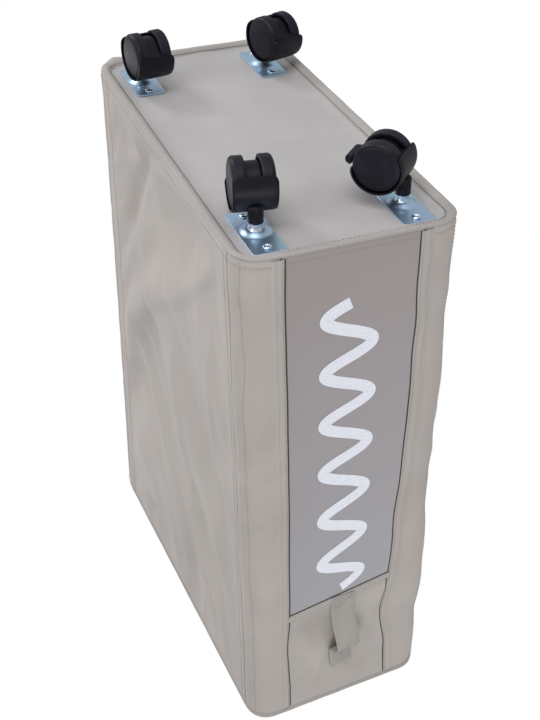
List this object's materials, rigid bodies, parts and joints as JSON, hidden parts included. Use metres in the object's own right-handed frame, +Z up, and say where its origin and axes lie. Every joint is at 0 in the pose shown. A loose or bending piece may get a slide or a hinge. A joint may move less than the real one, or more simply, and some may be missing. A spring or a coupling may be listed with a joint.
{
  "type": "laundry hamper",
  "caption": "Slim upright fabric laundry hamper, open at the top, with a window in its narrow front and twin-wheel swivel casters under it.",
  "frame": {"origin": "on the floor, under the middle of the hamper", "axes": "+Z up; the window and the front carrying strap face -Y; +X is the hamper's right seen from behind the window, looking along +Y"},
  "size_m": [0.19, 0.4536, 0.5915],
  "materials": {
    "wall_cloth": "warm grey coated polyester, plain weave",
    "hem_cloth": "the same cloth folded over a wire",
    "base_cloth": "the same cloth pulled flat",
    "sleeve_cloth": "the cloth's coated inner side",
    "webbing": "doubled strip of the cloth",
    "window": "satin, half-clear grey vinyl",
    "board": "grey pressed board",
    "steel": "bright drawn wire",
    "tube": "grey powder coat",
    "zinc": "bright blue zinc plate",
    "nylon": "moulded black nylon",
    "wheel_nylon": "black nylon, smooth disc faces"
  },
  "bodies": {
    "bag": {"back_panel": "wall_cloth", "base_board": "board", "base_liner": "base_cloth", "bottom_cover": "base_cloth", "bottom_hem": "hem_cloth", "bottom_wire_loop": "steel", "carry_strap_back": "webbing", "carry_strap_front": "webbing", "caster_plate_back_left": "zinc", "caster_plate_back_right": "zinc", "caster_plate_front_left": "zinc", "caster_plate_front_right": "zinc", "front_strip_left": "wall_cloth", "front_strip_right": "wall_cloth", "front_upper_panel": "wall_cloth", "kingpin_back_left": "zinc", "kingpin_back_right": "zinc", "kingpin_front_left": "zinc", "kingpin_front_right": "zinc", "rim_wire_loop": "steel", "rod_sleeve_back_left": "sleeve_cloth", "rod_sleeve_back_right": "sleeve_cloth", "rod_sleeve_front_left": "sleeve_cloth", "rod_sleeve_front_right": "sleeve_cloth", "screw_back_left_front": "zinc", "screw_back_left_rear": "zinc", "screw_back_right_front": "zinc", "screw_back_right_rear": "zinc", "screw_front_left_front": "zinc", "screw_front_left_rear": "zinc", "screw_front_right_front": "zinc", "screw_front_right_rear": "zinc", "side_panel_left": "wall_cloth", "side_panel_right": "wall_cloth", "top_hem": "hem_cloth", "upright_rod_back_left": "tube", "upright_rod_back_right": "tube", "upright_rod_front_left": "tube", "upright_rod_front_right": "tube", "window_panel": "window"},
    "swivel_front_left": {"hood_front_left": "nylon", "axle_front_left": "steel"},
    "wheel_front_left_a": {"wheel_front_left_a": "wheel_nylon"},
    "wheel_front_left_b": {"wheel_front_left_b": "wheel_nylon"},
    "brake_front_left": {"brake_pedal_front_left": "nylon"},
    "swivel_front_right": {"hood_front_right": "nylon", "axle_front_right": "steel"},
    "wheel_front_right_a": {"wheel_front_right_a": "wheel_nylon"},
    "wheel_front_right_b": {"wheel_front_right_b": "wheel_nylon"},
    "brake_front_right": {"brake_pedal_front_right": "nylon"},
    "swivel_back_left": {"hood_back_left": "nylon", "axle_back_left": "steel"},
    "wheel_back_left_a": {"wheel_back_left_a": "wheel_nylon"},
    "wheel_back_left_b": {"wheel_back_left_b": "wheel_nylon"},
    "swivel_back_right": {"hood_back_right": "nylon", "axle_back_right": "steel"},
    "wheel_back_right_a": {"wheel_back_right_a": "wheel_nylon"},
    "wheel_back_right_b": {"wheel_back_right_b": "wheel_nylon"}
  },
  "joints": [
    {"name": "swivel_front_left", "type": "hinge", "parent": "bag", "child": "swivel_front_left", "pos_m": [-0.0625, -0.156, 0.043], "axis": [0, 0, 1], "continuous": true},
    {"name": "spin_front_left_a", "type": "hinge", "parent": "swivel_front_left", "child": "wheel_front_left_a", "pos_m": [-0.05, -0.14305, 0.02025], "axis": [-0.7193, 0.6947, 0], "continuous": true},
    {"name": "spin_front_left_b", "type": "hinge", "parent": "swivel_front_left", "child": "wheel_front_left_b", "pos_m": [-0.05, -0.14305, 0.02025], "axis": [-0.7193, 0.6947, 0], "continuous": true},
    {"name": "brake_front_left", "type": "hinge", "parent": "swivel_front_left", "child": "brake_front_left", "pos_m": [-0.04305, -0.13586, 0.02325], "axis": [-0.7193, 0.6947, 0], "range_deg": [0, 12]},
    {"name": "swivel_front_right", "type": "hinge", "parent": "bag", "child": "swivel_front_right", "pos_m": [0.0625, -0.156, 0.043], "axis": [0, 0, 1], "continuous": true},
    {"name": "spin_front_right_a", "type": "hinge", "parent": "swivel_front_right", "child": "wheel_front_right_a", "pos_m": [0.05906, -0.13833, 0.02025], "axis": [-0.9816, -0.1908, 0], "continuous": true},
    {"name": "spin_front_right_b", "type": "hinge", "parent": "swivel_front_right", "child": "wheel_front_right_b", "pos_m": [0.05906, -0.13833, 0.02025], "axis": [-0.9816, -0.1908, 0], "continuous": true},
    {"name": "brake_front_right", "type": "hinge", "parent": "swivel_front_right", "child": "brake_front_right", "pos_m": [0.05716, -0.12851, 0.02325], "axis": [-0.9816, -0.1908, 0], "range_deg": [0, 12]},
    {"name": "swivel_back_left", "type": "hinge", "parent": "bag", "child": "swivel_back_left", "pos_m": [-0.0625, 0.151, 0.043], "axis": [0, 0, 1], "continuous": true},
    {"name": "spin_back_left_a", "type": "hinge", "parent": "swivel_back_left", "child": "wheel_back_left_a", "pos_m": [-0.06776, 0.13379, 0.02025], "axis": [0.9563, -0.2924, 0], "continuous": true},
    {"name": "spin_back_left_b", "type": "hinge", "parent": "swivel_back_left", "child": "wheel_back_left_b", "pos_m": [-0.06776, 0.13379, 0.02025], "axis": [0.9563, -0.2924, 0], "continuous": true},
    {"name": "swivel_back_right", "type": "hinge", "parent": "bag", "child": "swivel_back_right", "pos_m": [0.0625, 0.151, 0.043], "axis": [0, 0, 1], "continuous": true},
    {"name": "spin_back_right_a", "type": "hinge", "parent": "swivel_back_right", "child": "wheel_back_right_a", "pos_m": [0.06031, 0.13313, 0.02025], "axis": [0.9925, -0.1219, 0], "continuous": true},
    {"name": "spin_back_right_b", "type": "hinge", "parent": "swivel_back_right", "child": "wheel_back_right_b", "pos_m": [0.06031, 0.13313, 0.02025], "axis": [0.9925, -0.1219, 0], "continuous": true}
  ]
}
